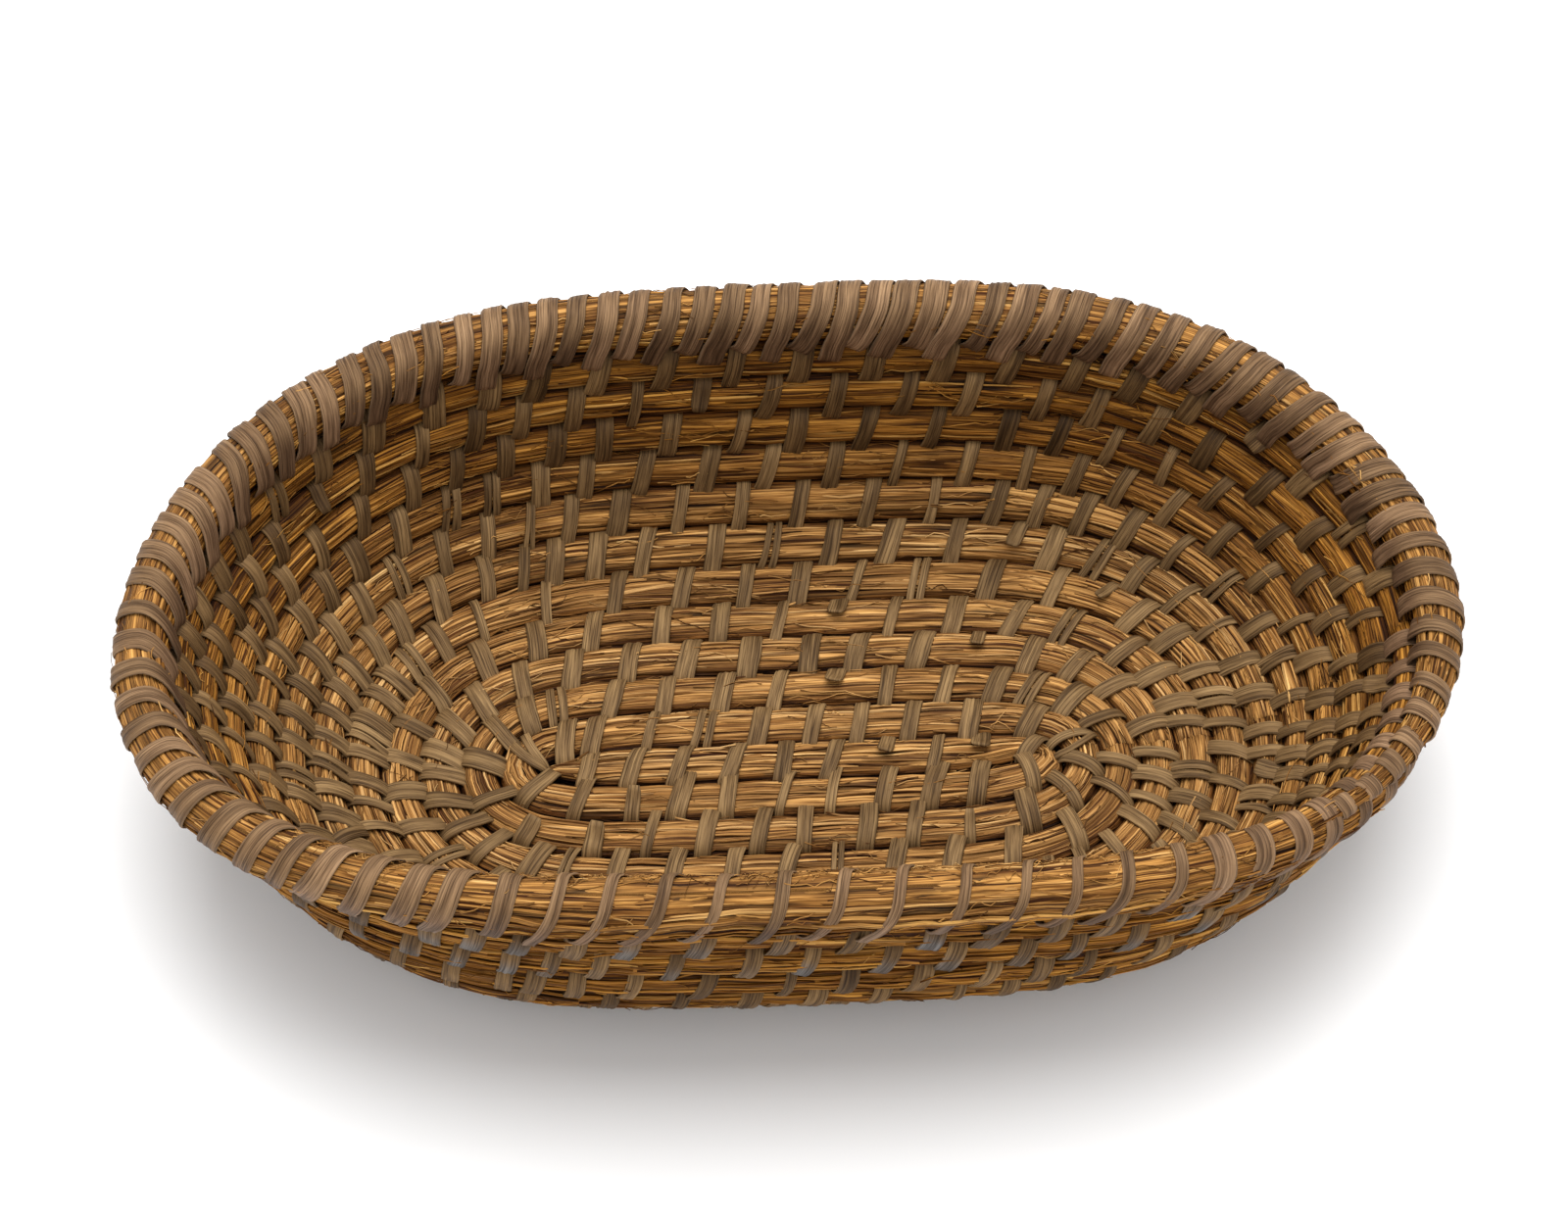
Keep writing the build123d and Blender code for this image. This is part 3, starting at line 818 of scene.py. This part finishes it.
def row_stitch(splints, row, middle):
    """One stitch of a row: whole, split in two, or broken off. Now and then another lies across it."""
    crowded = (STITCH_SPACING - spacing_at(turns_at(middle))) / (STITCH_SPACING - CROWDED_SPACING)
    width = stitch_width(row) * (1 + CROWDED_WIDENING * crowded)
    slant = random.normal(STITCH_SLANT, STITCH_SLANT_SPREAD + CROWDED_SLANT_SPREAD * crowded)
    reach = random.uniform(*STITCH_REACHES)
    lift = random.uniform(STITCH_LIFTS[0], STITCH_LIFTS[1] + CROWDED_LIFT * crowded)
    # Painted blue-grey sheen on the outside splints of the high rows.
    sheen = random.uniform(*SHEEN_AMOUNTS) * (row >= SHEEN_ROW)
    if random.random() < SPLIT_CHANCE:
        offset, half = width * SPLIT_OFFSET, width * SPLIT_WIDTH
        stitch(splints, middle - offset, half, slant, reach, lift)
        stitch(splints, middle + offset, half, slant * SPLIT_SLANT, reach, lift + SPLIT_LIFT)
    else:
        stitch(splints, middle, width, slant, reach, lift, sheen, random.random() < BROKEN_CHANCE)
    if random.random() < CROSSING_CHANCE * crowded:
        across, narrow = middle + CROSSING_OFFSET, width * CROSSING_WIDTH
        stitch(splints, across, narrow, -slant, reach, lift + CROSSING_LIFT)


def make_straws(name, row, places, look):
    """The straw of one row. The rim's has its worn edge too."""
    first, last = row_span(row)
    straws = Tubes()
    body(straws, first, last, places)
    straw_layer(straws, first, last, places)
    if row == RIM_ROW:
        rim_fuzz(straws)
    straws.build(f"{name}_straws", look, name)


def make_row(row, marks, straw_look, splint_look):
    """The straw and the stitches of one row below the rim."""
    places = row_places(row, marks)
    make_straws("centre_coil" if row == 0 else f"coil_turn_{row:02d}", row, places, straw_look)
    splints = Tubes()
    for middle in places:
        row_stitch(splints, row, middle)
    splints.build(f"stitches_{row:02d}_splints", splint_look, f"stitches_{row:02d}")


def is_sparse(turn):
    """The rim's binding is sparse along part of the near side."""
    return SPARSE_TURNS[0] < turn < SPARSE_TURNS[1]


def binding_spacing(turn):
    """The rim's splints lie closest along the far side, and furthest apart along the near one."""
    if is_sparse(turn):
        return SPARSE_BINDING_SPACING
    return BINDING_SPACING - BINDING_SPACING_CHANGE * math.sin(turn * math.tau)


def rim_places():
    """Where the rim's splints lie, in metres along the bundle."""
    first, last = row_span(RIM_ROW)
    places = [first + STITCH_END_MARGIN]
    while places[-1] < last - STITCH_END_MARGIN:
        spacing = binding_spacing(turns_at(places[-1]))
        places.append(places[-1] + spacing * random.uniform(*BINDING_SPACINGS))
    return np.array(places[:-1])


def rim_stitch(splints, middle, reaches, lifts):
    """One of the rim's splints. They lean further over on the near left, and less on the thin tail."""
    turn = turns_at(middle)
    width = (SPARSE_BINDING_WIDTH if is_sparse(turn) else BINDING_WIDTH) * random.uniform(*BINDING_WIDTHS)
    tail = min(1, read("half_depth", middle) / RIM_HALF_DEPTH) ** 2
    lean = NEAR_LEFT_SLANT * max(0, math.cos((turn - NEAR_LEFT_TURN) * math.tau))
    slant = (random.normal(BINDING_SLANT, BINDING_SLANT_SPREAD) + lean) * tail
    reach = random.uniform(*reaches) * tail
    lift = random.uniform(*lifts)
    stitch(splints, middle, width, slant, reach, lift, random.uniform(*RIM_SHEEN_AMOUNTS))


def make_rim(straw_look, splint_look):
    """The rim's straw and its binding."""
    places = rim_places()
    make_straws("rim_coil", RIM_ROW, places, straw_look)
    splints = Tubes()
    for index, middle in enumerate(places):
        rim_stitch(splints, middle, *(SHORT_BINDING if index % 2 else LONG_BINDING))
    splints.build("rim_binding_splints", splint_look, "rim_binding")


# ------------------------------------------------------------------ floor, lights and camera
CAMERA_ELEVATION, CAMERA_TURN = math.radians(52.0), math.radians(2.5)
CAMERA_DISTANCE, AIM_HEIGHT = 1.5, 54.6 * MM
CAMERA_LENS, SENSOR_WIDTH = 109.9, 36.0
CAMERA_SHIFT = (-0.005, 0.0378)
KEY_SOFTBOX = ((0.03, 0.42, 1.9), 1.8, 48)         # place, size in metres and power in watts
FRONT_FILL = ((0.1, -1.7, 1.3), 1.6, 5.5)
LIGHT_AIM = np.array([0, 0, 0.04])
WORLD_COLOUR, WORLD_STRENGTH = (1.0, 1.0, 1.0, 1), 0.77
FLOOR_HALF_SIZE = 4.0


def make_camera():
    data = bpy.data.cameras.new("camera")
    data.lens = CAMERA_LENS
    data.sensor_width = SENSOR_WIDTH
    data.shift_x, data.shift_y = CAMERA_SHIFT
    camera = bpy.data.objects.new("camera", data)
    level = CAMERA_DISTANCE * math.cos(CAMERA_ELEVATION)
    camera.location = (MIDDLE_SHIFT - level * math.sin(CAMERA_TURN), -level * math.cos(CAMERA_TURN),
                       AIM_HEIGHT + CAMERA_DISTANCE * math.sin(CAMERA_ELEVATION))
    camera.rotation_euler = (math.pi / 2 - CAMERA_ELEVATION, 0, -CAMERA_TURN)
    bpy.context.scene.collection.objects.link(camera)
    bpy.context.scene.camera = camera


def make_light(name, location, size, power):
    """A square light that faces the basket."""
    data = bpy.data.lights.new(name, "AREA")
    data.size = size
    data.energy = power
    light = bpy.data.objects.new(name, data)
    light.location = location
    east, north, climb = LIGHT_AIM - np.array(location)
    tilt = math.atan2(math.hypot(east, north), -climb)
    light.rotation_euler = (tilt, 0, math.atan2(north, east) - math.pi / 2)
    bpy.context.scene.collection.objects.link(light)


def make_stage():
    """A large sheet of pale paper."""
    signs = ((-1, -1), (1, -1), (1, 1), (-1, 1))
    corners = [(x * FLOOR_HALF_SIZE, y * FLOOR_HALF_SIZE, 0) for x, y in signs]
    mesh = bpy.data.meshes.new("floor")
    mesh.from_pydata(corners, [], [range(len(corners))])
    material, tree, shader = new_material("floor_paper", *PAPER_GLOSS)
    speckle = node(tree, "ShaderNodeTexNoise", PAPER_SPECKLE).outputs["Fac"]
    tree.links.new(ramp(tree, speckle, PAPER_TONES), shader.inputs["Base Color"])
    mesh.materials.append(material)
    floor = bpy.data.objects.new("floor", mesh)
    bpy.context.scene.collection.objects.link(floor)


def make_world():
    world = bpy.data.worlds.new("studio")
    bpy.context.scene.world = world
    world.use_nodes = True
    background = world.node_tree.nodes["Background"]
    background.inputs["Color"].default_value = WORLD_COLOUR
    background.inputs["Strength"].default_value = WORLD_STRENGTH


def main():
    make_camera()
    make_world()
    make_stage()
    make_light("key_softbox", *KEY_SOFTBOX)
    make_light("front_fill", *FRONT_FILL)
    bpy.context.scene.view_settings.view_transform = "Standard"
    straw_look = straw_material()
    splint_look = splint_material("splint", *SPLINT_COLOURS)
    rim_look = splint_material("rim_splint", *RIM_COLOURS)
    marks = stitch_turns()
    for row in range(RIM_ROW):
        make_row(row, marks, straw_look, splint_look)
    make_rim(straw_look, rim_look)


main()
